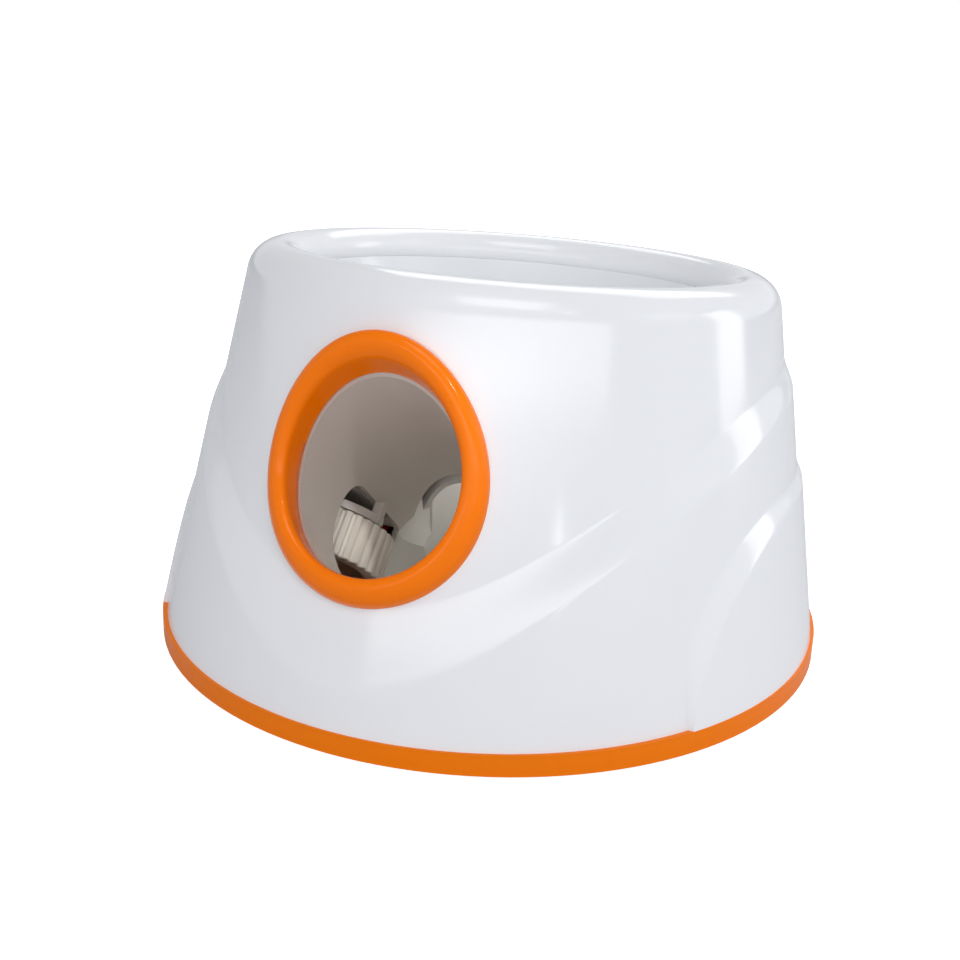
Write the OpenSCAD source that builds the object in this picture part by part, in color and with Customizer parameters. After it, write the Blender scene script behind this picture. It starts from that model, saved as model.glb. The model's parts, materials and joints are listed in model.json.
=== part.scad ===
// Automatic ball launcher: a leaning round body on a flat base, a bowl on top that
// feeds balls down a chute, and two ribbed wheels that throw them out of the front.
// The balls leave towards -Y. The bowl, the shell and the chute share one axis that
// leans back towards +Y.

/* [Base] */
// Radius of the round base
base_r = 130; // [124:1:140]
// Height of the coloured band round the base
band_h = 8; // [6:0.5:12]
// Thickness of the base's floor and walls
pan_wall = 2.4; // [2:0.1:3]
// How far the feet stand below the base
foot_drop = 1.5; // [1:0.25:3]
// Radius of a foot
foot_r = 6.5; // [5:0.5:8]
// Distance of the feet from the centre
foot_ring_r = 110; // [104:1:112]

/* [Shell] */
// Backward lean of the body's axis, in degrees
lean = 5.46; // [3:0.1:6.5]
// Radius of the highest line of the rim
crown_r = 89.7; // [86:0.5:92]
// Height of the highest line of the rim along the axis
crown_s = 145.2; // [140:0.5:155]
// Rounding of the rim on its outer side
rim_round = 12.4; // [8:0.2:14]
// Rounding of the rim on its inner side
lip_round = 8; // [6:0.5:10]
// Slope of the side wall from the axis, in degrees
flare = 10.1; // [8:0.1:11]
// Wall of the shell
shell_wall = 2.2; // [1.8:0.1:3]
// How far the main skirt stands out
skirt_step = 2.6; // [1:0.1:3]
// How far the rear skirt stands out beyond the main one
rear_step = 1.8; // [0.8:0.1:2]

/* [Hopper] */
// Bore of the feed chute
chute_r = 28.5; // [27:0.5:30]
// Wall of the chute, the bowl and the breech
duct_wall = 2.2; // [1.8:0.1:3]
// Height of the bowl's drain along the axis
drain_s = 94; // [90:0.5:98]
// Slope of the bowl's floor, in degrees
funnel_slope = 24; // [18:1:26]
// Radius at which the bowl's floor meets its wall
funnel_r = 72; // [66:1:74]

/* [Launch tube] */
// Elevation of the launch direction, in degrees
launch_tilt = 41.6; // [40:0.1:43]
// Bore of the launch tube
tube_r = 31.5; // [30.5:0.25:32]
// Wall of the launch tube
tube_wall = 2.1; // [1.8:0.1:2.4]
// Distance along the launch direction at which the tube starts
tube_start = 43; // [42:0.5:45]
// Outer radius of the outlet ring
ring_r = 40.8; // [39:0.2:43]
// Inner radius of the outlet ring
ring_bore_r = 32.4; // [32.2:0.1:33]
// How far the outlet ring stands out of the shell
ring_proud = 5; // [3:0.25:6]
// Depth of the ring's liner behind the shell's face
liner_depth = 7.5; // [6:0.5:9]

/* [Launch wheels] */
// Radius of a launch wheel over its ribs
wheel_r = 24; // [22:0.5:25]
// Gap between the two wheels
wheel_gap = 45; // [44:0.5:47]
// Height of a wheel's ribs
wheel_h = 18; // [14:0.5:18.5]
// Distance of the wheels' axes along the launch direction
wheel_at = 61.5; // [60:0.5:63]
// Number of ribs round a wheel
rib_count = 34; // [28:2:48]
// Depth of the grooves between the ribs
rib_depth = 1.3; // [0.8:0.1:1.6]
// Radius of a motor's shaft
shaft_r = 1.5; // [1:0.25:2]
// Radius of a motor
motor_r = 12; // [10:0.5:14]
// Length of a motor
motor_l = 30; // [24:1:32]

/* [Gate] */
// Length of the gate arm from its pivot to its tip
gate_l = 40; // [38:0.5:42]
// Thickness of the gate arm
gate_t = 3; // [2:0.25:4]
// Width of the gate arm
gate_w = 8; // [6:0.5:9]
// Height of the gate arm's underside along the axis
gate_s = 75; // [74:0.5:77]

/* [Batteries] */
// Radius of a cell
cell_r = 13.1; // [12.5:0.1:13.5]
// Length of a cell with its tip
cell_l = 49; // [46:0.5:50]
// Wall of the battery tray
tray_wall = 1.8; // [1.4:0.1:2.2]

/* [Controls] */
// Radius of the power button
button_r = 7; // [5:0.5:8]
// Height of the power button along the axis
button_s = 52; // [46:1:58]
// How far the power button stands out
button_proud = 1; // [0.5:0.25:2]
// Travel of the power button
button_travel = 1.2; // [0.8:0.1:1.6]
// Radius of the power inlet's nose
jack_r = 4.5; // [4:0.25:5]
// Height of the power inlet along the axis
jack_s = 31; // [30:1:36]

/* [Hidden] */
$fn = 96;

fit_gap = 0.3;          // between pieces that fit without touching
run_gap = 0.05;         // between a shaft and its hole
far = 400;              // longer than anything in the model
low_s = -24;            // below the shell's level bottom edge, along the axis

band_top = foot_drop + band_h;
floor_top = foot_drop + pan_wall;

// The leaning body: radii are from its axis, heights run along it.
lip_r = crown_r - lip_round;
rim_c = crown_s - rim_round;
lip_c = crown_s - lip_round;
bowl_top_s = crown_s - 11.2;
slope = tan(flare);
wall_top_s = rim_c + rim_round * sin(flare);
function wall_r(s) = crown_r + rim_round * cos(flare) + slope * (wall_top_s - s);
function arc(r, s, radius, from, to, steps) =
    [for (i = [0 : steps]) let (a = from + (to - from) * i / steps)
        [r + radius * cos(a), s + radius * sin(a)]];

// Skirt edges, seen from the side: the centre's Y and Z and the radius of each arc.
skirt_high = [27.2, -78.9, 191.1];
skirt_low = [33.6, -93.6, 196.1];
rear_high = [-4.1, 4.6, 68.3];
rear_low = [9.3, -17.1, 84.7];
flat_drop = 0.4;        // the level part of a skirt edge lies this far under the arc's top

// The launch frame: X is across, Y is up, Z runs out along the launch direction.
launch_z = foot_drop - 0.25;
launch_slope = launch_tilt - lean;
tube_out_r = tube_r + tube_wall;
function at_launch(x, up, along) =
    [x, up * sin(launch_tilt) - along * cos(launch_tilt),
     launch_z + up * cos(launch_tilt) + along * sin(launch_tilt)];
function at_body(x, y, s) =
    [x, y * cos(lean) + s * sin(lean), foot_drop - y * sin(lean) + s * cos(lean)];

// Distance along the launch direction at which a line beside the launch axis, at
// radius rho and angle phi round it, meets the wall moved out by e.
function wall_reach(rho, phi, e) =
    let (x = rho * cos(phi),
         y0 = rho * sin(phi) * sin(launch_slope),
         z0 = rho * sin(phi) * cos(launch_slope) + launch_z - foot_drop,
         k = wall_r(0) + e - slope * z0,
         a = pow(cos(launch_slope), 2) - pow(slope * sin(launch_slope), 2),
         b = -2 * y0 * cos(launch_slope) + 2 * slope * sin(launch_slope) * k,
         c = x * x + y0 * y0 - k * k)
    (-b + sqrt(b * b - 4 * a * c)) / (2 * a);

// Outlet ring
collar_r = 36;
collar_gap = 0.4;
collar_depth = liner_depth + 9.5;
ring_steps = 72;

// Launch wheels
wheel_x = wheel_gap / 2 + wheel_r;
wheel_low = -13.8;
wheel_high = wheel_low + wheel_h;
cap_t = 2.3;
cap_r = 9;
hub_r = 5;
wing_low = wheel_high + 8.8;
wing_t = 2.2;
wing_r = motor_r + 6;
motor_low = wing_low + wing_t;
shaft_low = wheel_low + 3;
motor_boss_r = 3.5;
motor_screw_at = 8;
motor_screw_r = 1.2;
well_r = wheel_r + 2.2;
slot_from = wheel_at - sqrt(pow(well_r, 2) - pow(wheel_x - tube_r, 2));
slot_to = 90.5;
slot_low = -26;
slot_round = 8;
guard_r = wheel_r - 2.2;
guard_bore_r = cap_r + 3;
guard_low = wheel_high + 0.8;
guard_t = 3;
guard_from = wheel_at + 4.5;

// Breech and chute
breech_top_s = 66;
chute_top_s = drain_s - 6;
chute_out_r = chute_r + duct_wall;
duct_flange_r = chute_out_r + 3.3;
duct_flange_t = 2;
trough_r = chute_r + 1;
trough_back_y = 4;
breech_floor = floor_top + 2.3;
breech_floor_slope = 2.5;
breech_floor_y = -53;

// Gate, in the body's frame
gate_pivot = [-26, 34];
gate_rest_angle = -41;
gate_hub_r = gate_w / 2 + 1.5;
gate_tip_r = gate_w / 2 + 0.6;
gate_room = 0.8;
servo = [23, 12.2, 22];
servo_ear = [32, 12.2, 2.5];
servo_ear_s = gate_s - 5;
servo_shift = -5.4;
horn_r = 2.3;
shelf_t = 2.4;
sensor_r = 2.5;
sensor_s = gate_s + 8;

// Batteries
cell_gap = 1.2;
cell_nub = 1.2;
spring_l = 2.2;
plate_t = 0.5;
divider_w = 4;
row_pitch = 2 * cell_r + cell_gap;
row_y = 66.9;
bay_x = divider_w / 2 + 2 * plate_t + spring_l + cell_l;
bay_y = row_pitch / 2 + cell_r + 0.5;
cell_z = floor_top + 0.4 + cell_r;
bay_top = cell_z + cell_r + 0.5;
cover_gap = 0.35;
hinge_y = row_y + bay_y - pan_wall / 2;
hinge_z = foot_drop + pan_wall / 2;
pin_r = 0.7;
pin_l = 1.8;

// Boards
board = [84, 44, 1.6];
board_y = 70;
standoff_h = 6;
standoff_r = 2.6;
board_hole = [38, 18];
board_z = bay_top + tray_wall + standoff_h;
board_top = board_z + board[2];
board_screw_r = 1.2;

// Shell posts and their screws
post_r = 4.6;
post_ring_r = 110;
post_top = 34;
post_angles = [48, 132, 228, 312];
pilot_r = 1.45;
screw_r = 1.5;
screw_head_r = 3.1;
screw_head_h = 2.2;
head_room = 4;
register_r = 119.5;
foot_angles = [20, 160, 200, 340];
foot_recess = 1;

// Bowl screws
bowl_flange_r = lip_r + 13;
bowl_flange_t = 2.2;
bowl_boss_r = 4.2;
bowl_boss_ring_r = crown_r;
bowl_screw_angles = [45, 135, 225, 315];

// Rear controls
rear_out_r = wall_r(button_s) + skirt_step + rear_step;
rear_in_r = wall_r(button_s) - shell_wall;
button_flange_r = button_r + 1.5;
button_flange_t = 1.5;
switch_h = 4.2;
button_back = rear_in_r - 4 - button_flange_t;
switch_face = button_back - button_travel - 0.1;
switch_board_t = 1.6;
switch_board_y = switch_face - switch_h - switch_board_t;
switch_board_w = 30;
switch_board_h = 30;
switch_post_x = 12;
switch_post_r = 2.4;
lens_s = button_s + 12;
lens_r = 2;
led_r = 1.5;
jack_out_r = wall_r(jack_s) + skirt_step + rear_step;
jack_in_r = wall_r(jack_s) - shell_wall;
jack_box = [9, 12, 11];
jack_face = jack_in_r - slope * jack_box[2] / 2 - fit_gap;
jack_bore_r = 2.75;
jack_bore_depth = 9;
jack_pin_r = 0.9;

lead_r = 1.1;
lead_sides = 8;

module body_frame() {
    translate([0, 0, foot_drop]) rotate([-lean, 0, 0]) children();
}

module launch_frame() {
    translate([0, 0, launch_z]) rotate([90 - launch_tilt, 0, 0]) children();
}

// Turns a child that stands on the XY plane so that its Z runs along +Y.
module along_y() {
    rotate([-90, 0, 0]) children();
}

// Everything above a level plane.
module above(z) {
    translate([-far / 2, -far / 2, z]) cube(far);
}

// A solid of revolution that fills the body out to the wall moved out by e.
module body_fill(e, s_from, s_to) {
    rotate_extrude()
        polygon([[0, s_from], [wall_r(s_from) + e, s_from], [wall_r(s_to) + e, s_to], [0, s_to]]);
}

// One layer of a skirt: the wall made thicker by e under an arc seen from the side.
module skirt_layer(e, edge) {
    top_s = edge[1] + edge[2] + 8;
    intersection() {
        body_frame() rotate_extrude()
            polygon([[wall_r(low_s) - 1, low_s], [wall_r(low_s) + e, low_s],
                     [wall_r(top_s) + e, top_s], [wall_r(top_s) - 1, top_s]]);
        translate([0, 0, foot_drop]) rotate([90, 0, 90])
            linear_extrude(height = far, center = true) union() {
                translate([edge[0], edge[1]]) circle(r = edge[2], $fn = 180);
                translate([edge[0], -far / 4])
                    square([far / 2, far / 4 + edge[1] + edge[2] - flat_drop]);
            }
    }
}

module shell_wall_solid() {
    body_frame() rotate_extrude($fn = 144)
        polygon(concat(
            [[wall_r(low_s), low_s]],
            arc(crown_r, rim_c, rim_round, flare, 90, 9),
            [for (i = [1 : 8]) arc(crown_r, lip_c, lip_round, 90, 180, 8)[i]],
            [[lip_r, bowl_top_s], [lip_r + shell_wall, bowl_top_s]],
            arc(crown_r, lip_c, lip_round - shell_wall, 180, 90, 8),
            [for (i = [1 : 9]) arc(crown_r, rim_c, rim_round - shell_wall, 90, flare, 9)[i]],
            [[wall_r(low_s) - shell_wall, low_s]]));
}

// A post inside the shell that takes a screw from below, with a web to the wall.
module shell_post(angle) {
    intersection() {
        rotate([0, 0, angle - 90]) union() {
            translate([post_ring_r, 0, band_top]) cylinder(h = post_top - band_top, r = post_r);
            translate([post_ring_r, -1.2, band_top + 8])
                cube([24, 2.4, post_top - band_top - 8]);
        }
        body_frame() body_fill(-0.5, low_s, crown_s - 30);
    }
}

module outer_shell() {
    color("#eceef0") difference() {
        union() {
            intersection() {
                union() {
                    shell_wall_solid();
                    skirt_layer(skirt_step / 2, skirt_high);
                    skirt_layer(skirt_step, skirt_low);
                    skirt_layer(skirt_step + rear_step / 2, rear_high);
                    skirt_layer(skirt_step + rear_step, rear_low);
                }
                above(band_top);
            }
            for (a = post_angles) shell_post(a);
            body_frame() for (a = bowl_screw_angles) rotate([0, 0, a])
                translate([bowl_boss_ring_r, 0, bowl_top_s])
                    cylinder(h = crown_s - bowl_top_s - shell_wall / 2, r = bowl_boss_r);
            body_frame() for (x = [-switch_post_x, switch_post_x])
                translate([x, switch_board_y + switch_board_t, button_s])
                    along_y() cylinder(h = rear_in_r - switch_board_y, r = switch_post_r);
        }
        launch_frame() translate([0, 0, tube_start])
            cylinder(h = far / 2, r = collar_r + collar_gap);
        difference() {
            launch_frame() translate([0, 0, tube_start + 30])
                cylinder(h = far / 2, r = ring_r + fit_gap);
            body_frame() body_fill(0, low_s, rim_c);
        }
        for (a = post_angles) rotate([0, 0, a - 90])
            translate([post_ring_r, 0, band_top - 1]) cylinder(h = 16, r = pilot_r);
        body_frame() for (a = bowl_screw_angles) rotate([0, 0, a])
            translate([bowl_boss_ring_r, 0, bowl_top_s - 1]) cylinder(h = 8, r = pilot_r);
        body_frame() translate([0, rear_in_r - 6, button_s]) along_y()
            cylinder(h = 20, r = button_r + fit_gap);
        body_frame() translate([0, rear_in_r - 6, lens_s]) along_y()
            cylinder(h = 20, r = lens_r + run_gap);
        body_frame() translate([0, jack_in_r - 6, jack_s]) along_y()
            cylinder(h = 20, r = jack_r + run_gap);
    }
}

// The bowl's funnel, in the body's frame: floor, wall, spout and the flange on top.
funnel_s = drain_s + (funnel_r - chute_r) * tan(funnel_slope);
module hopper_bowl() {
    color("#e8eaec") body_frame() difference() {
        rotate_extrude($fn = 144)
            polygon([[chute_r, chute_top_s], [chute_r, drain_s], [funnel_r, funnel_s],
                [funnel_r + 4, funnel_s + 4], [lip_r, bowl_top_s],
                [bowl_flange_r, bowl_top_s], [bowl_flange_r, bowl_top_s - bowl_flange_t],
                [lip_r + duct_wall, bowl_top_s - bowl_flange_t],
                [funnel_r + 4 + duct_wall, funnel_s + 3], [funnel_r + 1, funnel_s - duct_wall],
                [chute_out_r, drain_s - duct_wall], [chute_out_r, chute_top_s]]);
        for (a = bowl_screw_angles) rotate([0, 0, a])
            translate([bowl_boss_ring_r, 0, bowl_top_s - bowl_flange_t - 1])
                cylinder(h = bowl_flange_t + 2, r = screw_r + fit_gap);
    }
}

// Section of the outlet ring: radius from the launch axis, and height over the wall.
ring_mid = (ring_r + ring_bore_r) / 2;
ring_half = (ring_r - ring_bore_r) / 2;
ring_section = concat(
    [[ring_r, 0.2]],
    [for (i = [0 : 8]) let (a = 180 * i / 8)
        [ring_mid + ring_half * cos(a), 1 + (ring_proud - 1) * sin(a)]],
    [[ring_bore_r, -liner_depth], [tube_out_r + fit_gap, -liner_depth],
     [tube_out_r + fit_gap, -collar_depth], [collar_r, -collar_depth], [collar_r, 0.2]]);

// A closed ring swept round the launch axis so that its section follows the wall.
module wall_ring(section, steps) {
    n = len(section);
    points = [for (i = [0 : steps - 1]) let (phi = 360 * i / steps) for (p = section)
        at_launch(p[0] * cos(phi), p[0] * sin(phi), wall_reach(p[0], phi, p[1]))];
    faces = [for (i = [0 : steps - 1]) for (j = [0 : n - 1])
        let (a = i * n + j, b = i * n + (j + 1) % n,
             c = ((i + 1) % steps) * n + (j + 1) % n, d = ((i + 1) % steps) * n + j)
        each [[a, b, c], [a, c, d]]];
    polyhedron(points = points, faces = faces);
}

module outlet_ring() {
    color("#ff8a00") wall_ring(ring_section, ring_steps);
}

// Room for a launch wheel: a round well, and a slot with rounded ends in the tube's wall.
module wheel_well(side) {
    translate([side * wheel_x, wheel_low - 3, wheel_at]) along_y()
        cylinder(h = wheel_h + 4.2, r = well_r);
    translate([side > 0 ? 15 : -15 - tube_r, 0, 0]) {
        translate([0, slot_low, slot_from]) cube([tube_r, wing_low - slot_round - slot_low,
                                                  slot_to - slot_from]);
        translate([0, slot_low, slot_from + slot_round])
            cube([tube_r, wing_low - slot_low, slot_to - slot_from - 2 * slot_round]);
        for (a = [slot_from, slot_to - 2 * slot_round])
            translate([0, wing_low - slot_round, a + slot_round]) rotate([0, 90, 0])
                cylinder(h = tube_r, r = slot_round - 0.02);
    }
}

// A fixed guard over a wheel's ribs, hung from the wing by two posts.
module wheel_guard(side) {
    intersection() {
        translate([side * wheel_x, guard_low, wheel_at]) along_y() difference() {
            cylinder(h = guard_t, r = guard_r);
            translate([0, 0, -1]) cylinder(h = guard_t + 2, r = guard_bore_r);
        }
        translate([side > 0 ? 0 : -wheel_x, 0, guard_from]) cube([wheel_x, 40, 60]);
    }
    translate([side > 0 ? wheel_x - guard_r + 0.9 : -wheel_x + guard_r - 4.9, guard_low + 0.4,
               guard_from]) cube([4, wing_low - guard_low, 3.4]);
    translate([side > 0 ? wheel_x - 4 : -wheel_x, guard_low + 0.4,
               wheel_at + wing_r - 4]) cube([4, wing_low - guard_low, 3.4]);
}

// A flat wing beside the tube that carries a motor.
module motor_wing(side) {
    difference() {
        union() {
            translate([side > 0 ? tube_r - 5 : -wheel_x, wing_low, wheel_at - wing_r])
                cube([wheel_x - tube_r + 5, wing_t, 2 * wing_r]);
            translate([side * wheel_x, wing_low, wheel_at]) along_y()
                cylinder(h = wing_t, r = wing_r);
        }
        translate([side * wheel_x, wing_low - 1, wheel_at]) along_y()
            cylinder(h = wing_t + 2, r = motor_boss_r + run_gap);
        for (k = [-1, 1])
            translate([side * wheel_x, wing_low - 1, wheel_at + k * motor_screw_at]) along_y()
                cylinder(h = wing_t + 2, r = motor_screw_r + run_gap);
    }
}

module launch_tube() {
    color("#b9b2aa") difference() {
        launch_frame() union() {
            difference() {
                translate([0, 0, tube_start]) cylinder(h = far / 3, r = tube_out_r);
                wheel_well(-1);
                wheel_well(1);
            }
            for (side = [-1, 1]) {
                motor_wing(side);
                wheel_guard(side);
            }
        }
        launch_frame() difference() {
            translate([0, 0, tube_start - 5]) cylinder(h = far / 3 + 10, r = tube_r);
            for (side = [-1, 1]) wheel_guard(side);
        }
        body_frame() translate([0, 0, low_s]) cylinder(h = 110, r = duct_flange_r + fit_gap);
        body_frame() rotate_extrude()
            polygon([[wall_r(low_s) - liner_depth - fit_gap, low_s], [far, low_s],
                     [far, crown_s + 40],
                     [wall_r(crown_s + 40) - liner_depth - fit_gap, crown_s + 40]]);
    }
}

// Inside and outside of the breech: the chute's foot, the trough and the tube's root.
module breech_form(grow) {
    body_frame() translate([0, 0, low_s])
        cylinder(h = breech_top_s - low_s + (grow > 0 ? 0 : 1), r = chute_r + grow);
    intersection() {
        translate([0, trough_back_y, breech_floor + trough_r]) rotate([90, 0, 0])
            cylinder(h = 60, r = trough_r + grow);
        launch_frame() translate([-far / 2, -far / 2, tube_start - far])
            cube([far, far, far]);
    }
    launch_frame() translate([0, 0, 8])
        cylinder(h = tube_start - 8 + (grow > 0 ? 0 : 60), r = tube_r + grow);
}

module breech_block() {
    color("#c9ccd0") difference() {
        union() {
            intersection() {
                breech_form(duct_wall);
                above(floor_top);
            }
            body_frame() translate([0, 0, breech_top_s - duct_flange_t])
                cylinder(h = duct_flange_t, r = duct_flange_r);
        }
        intersection() {
            breech_form(0);
            translate([0, breech_floor_y, breech_floor]) rotate([breech_floor_slope, 0, 0])
                translate([-far / 2, -far / 2, 0]) cube(far);
        }
        launch_frame() for (side = [-1, 1]) wheel_well(side);
    }
}

module feed_chute() {
    color("#d5d8db") body_frame() difference() {
        union() {
            translate([0, 0, breech_top_s])
                cylinder(h = chute_top_s - breech_top_s, r = chute_out_r);
            translate([0, 0, breech_top_s]) cylinder(h = duct_flange_t, r = duct_flange_r);
            translate([0, 0, chute_top_s - duct_flange_t])
                cylinder(h = duct_flange_t, r = duct_flange_r);
            translate([gate_pivot[0] + servo_shift - servo_ear[0] / 2 - 2, chute_r - 8,
                       servo_ear_s - shelf_t])
                cube([servo_ear[0] + 4, gate_pivot[1] - chute_r + 16, shelf_t]);
        }
        translate([0, 0, breech_top_s - 1])
            cylinder(h = chute_top_s - breech_top_s + 2, r = chute_r);
        translate([-34, 4, gate_s - gate_room])
            cube([56, 34, gate_t + 2 * gate_room]);
        translate([gate_pivot[0] + servo_shift - servo[0] / 2 - fit_gap,
                   gate_pivot[1] - servo[1] / 2 - fit_gap, servo_ear_s - shelf_t - 1])
            cube([servo[0] + 2 * fit_gap, servo[1] + 2 * fit_gap, shelf_t + 2]);
        translate([-duct_flange_r, 0, sensor_s]) rotate([0, 90, 0])
            cylinder(h = 2 * duct_flange_r, r = sensor_r + run_gap);
    }
}

module base_pan() {
    color("#f57c00") difference() {
        union() {
            rotate_extrude($fn = 144)
                polygon([[0, foot_drop], [register_r, foot_drop],
                    [register_r, band_top - pan_wall], [base_r - pan_wall, band_top - pan_wall],
                    [base_r - pan_wall, foot_drop], [base_r, foot_drop], [base_r, band_top],
                    [register_r, band_top], [register_r, band_top + 4.5],
                    [register_r - pan_wall, band_top + 4.5],
                    [register_r - pan_wall, floor_top], [0, floor_top]]);
            for (a = post_angles) rotate([0, 0, a - 90])
                translate([post_ring_r, 0, foot_drop])
                    cylinder(h = band_top - foot_drop, r = post_r + 0.6);
            difference() {
                translate([-14, -94, floor_top - 1]) cube([28, 5, 50]);
                launch_frame() cylinder(h = far, r = tube_out_r + 0.1);
            }
        }
        translate([-bay_x - cover_gap, row_y - bay_y - cover_gap, 0])
            cube([2 * (bay_x + cover_gap), 2 * (bay_y + cover_gap), floor_top + 1]);
        translate([-bay_x - pin_l - 0.2, hinge_y, hinge_z]) rotate([0, 90, 0])
            cylinder(h = 2 * (bay_x + pin_l + 0.2), r = pin_r + run_gap);
        for (a = post_angles) rotate([0, 0, a - 90]) translate([post_ring_r, 0, 0]) {
            cylinder(h = band_top + 1, r = screw_r + fit_gap);
            cylinder(h = foot_drop + head_room, r = screw_head_r + fit_gap);
        }
        for (a = foot_angles) rotate([0, 0, a - 90]) translate([foot_ring_r, 0, 0])
            cylinder(h = foot_drop + foot_recess, r = foot_r + run_gap);
        body_frame() translate([-jack_box[0] / 2 - fit_gap, jack_in_r - 30,
                                jack_s - jack_box[2] / 2 - fit_gap])
            cube([jack_box[0] + 2 * fit_gap, 32, 20]);
    }
}

module rubber_feet() {
    color("#2b2b2d") for (a = foot_angles) rotate([0, 0, a - 90])
        translate([foot_ring_r, 0, 0]) cylinder(h = foot_drop + foot_recess, r = foot_r);
}

module battery_tray() {
    color("#3a3c40") difference() {
        union() {
            translate([-bay_x - tray_wall, row_y - bay_y - tray_wall, floor_top])
                cube([2 * (bay_x + tray_wall), 2 * (bay_y + tray_wall),
                      bay_top + tray_wall - floor_top]);
            for (x = [-1, 1], y = [-1, 1])
                translate([x * board_hole[0], board_y + y * board_hole[1], bay_top])
                    cylinder(h = tray_wall + standoff_h, r = standoff_r);
        }
        for (x = [divider_w / 2, -bay_x])
            translate([x, row_y - bay_y, floor_top - 1])
                cube([bay_x - divider_w / 2, 2 * bay_y, bay_top - floor_top + 1]);
        for (x = [-1, 1], y = [-1, 1])
            translate([x * board_hole[0], board_y + y * board_hole[1], board_z - 5])
                cylinder(h = 6, r = board_screw_r + run_gap);
    }
}

module battery_cover() {
    color("#e87400") difference() {
        union() {
            translate([-bay_x, row_y - bay_y, foot_drop])
                cube([2 * bay_x, 2 * bay_y - pan_wall / 2, pan_wall]);
            translate([-bay_x, hinge_y, hinge_z]) rotate([0, 90, 0])
                cylinder(h = 2 * bay_x, r = pan_wall / 2 - 0.05);
            translate([-bay_x - pin_l, hinge_y, hinge_z]) rotate([0, 90, 0])
                cylinder(h = 2 * (bay_x + pin_l), r = pin_r);
        }
        for (k = [0 : 2]) translate([-12, row_y - bay_y + 4 + 4 * k, 0])
            cube([24, 1.6, foot_drop + 0.8]);
    }
}

// Places a child at each cell; its X runs from the cell's flat end to its tip.
module each_cell() {
    for (side = [-1, 1], row = [-0.5, 0.5])
        translate([0, row_y + row * row_pitch, cell_z])
            mirror([side * row > 0 ? 1 : 0, 0, 0])
                translate([side * row > 0 ? (side > 0 ? -bay_x : divider_w / 2)
                                         : (side > 0 ? divider_w / 2 : -bay_x), 0, 0])
                    children();
}

module battery_cells() {
    color("#2f6f4e") each_cell() translate([plate_t + spring_l, 0, 0]) rotate([0, 90, 0]) {
        cylinder(h = cell_l - cell_nub, r = cell_r);
        cylinder(h = cell_l, r = cell_r * 0.4);
    }
}

module contact_plates() {
    color("#c8ccd2") each_cell() {
        translate([0, -6, -7]) cube([plate_t, 12, 14]);
        translate([plate_t + spring_l + cell_l, -6, -7]) cube([plate_t, 12, 14]);
    }
}

module contact_springs() {
    color("#b9bec6") each_cell() translate([plate_t, 0, 0]) rotate([0, 90, 0])
        cylinder(h = spring_l, r1 = 6, r2 = 4);
}

// One rib: part of the pitch round the wheel, and depth below its top as a share.
rib_section = [[-0.36, 1], [-0.3, 0.25], [-0.2, 0], [0.2, 0], [0.3, 0.25], [0.36, 1]];
module wheel(side) {
    launch_frame() translate([side * wheel_x, wheel_low, wheel_at]) along_y() difference() {
        linear_extrude(height = wheel_h)
            polygon([for (i = [0 : rib_count - 1]) for (p = rib_section)
                let (a = 360 * (i + p[0]) / rib_count)
                    (wheel_r - p[1] * rib_depth) * [cos(a), sin(a)]]);
        translate([0, 0, -1]) cylinder(h = wheel_h + 2, r = shaft_r);
        difference() {
            translate([0, 0, -1]) cylinder(h = wheel_h - 5, r = wheel_r - 6);
            translate([0, 0, -2]) cylinder(h = wheel_h, r = hub_r + 1);
        }
    }
}

module wheel_cap(side) {
    launch_frame() translate([side * wheel_x, wheel_high, wheel_at]) along_y() difference() {
        union() {
            cylinder(h = cap_t, r = cap_r);
            cylinder(h = cap_t + 2, r = hub_r);
        }
        translate([0, 0, -1]) cylinder(h = 10, r = shaft_r);
    }
}

module shaft(side) {
    launch_frame() translate([side * wheel_x, shaft_low, wheel_at]) along_y()
        cylinder(h = motor_low + 2 - shaft_low, r = shaft_r);
}

module motor(side) {
    launch_frame() translate([side * wheel_x, 0, wheel_at]) difference() {
        union() {
            translate([0, motor_low, 0]) along_y() cylinder(h = motor_l, r = motor_r);
            translate([0, motor_low - 1.6, 0]) along_y() cylinder(h = 2, r = motor_boss_r);
            translate([0, motor_low + motor_l, 0]) along_y() cylinder(h = 2.4, r = 5);
            for (k = [-1, 1]) translate([k * 7 - 1.2, motor_low + motor_l - 0.2, -0.4])
                cube([2.4, 4, 0.8]);
        }
        translate([0, motor_low - 3, 0]) along_y() cylinder(h = 6, r = shaft_r + run_gap);
        for (k = [-1, 1]) translate([0, motor_low - 1, k * motor_screw_at]) along_y()
            cylinder(h = 5, r = motor_screw_r + run_gap);
    }
}

module left_wheel() {
    color("#d8d2c8") wheel(-1);
}

module right_wheel() {
    color("#d8d2c8") wheel(1);
}

module left_wheel_cap() {
    color("#c9c4bc") wheel_cap(-1);
}

module right_wheel_cap() {
    color("#c9c4bc") wheel_cap(1);
}

module left_shaft() {
    color("#9a9da2") shaft(-1);
}

module right_shaft() {
    color("#9a9da2") shaft(1);
}

module left_motor() {
    color("#8f949a") motor(-1);
}

module right_motor() {
    color("#8f949a") motor(1);
}

module motor_screws() {
    color("#85888d") for (side = [-1, 1], k = [-1, 1])
        launch_frame() translate([side * wheel_x, 0, wheel_at + k * motor_screw_at]) {
            translate([0, wing_low - 1.2, 0]) along_y() cylinder(h = 1.2, r = 2.2);
            translate([0, wing_low - 0.5, 0]) along_y() cylinder(h = wing_t + 3.5, r = motor_screw_r);
        }
}

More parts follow.
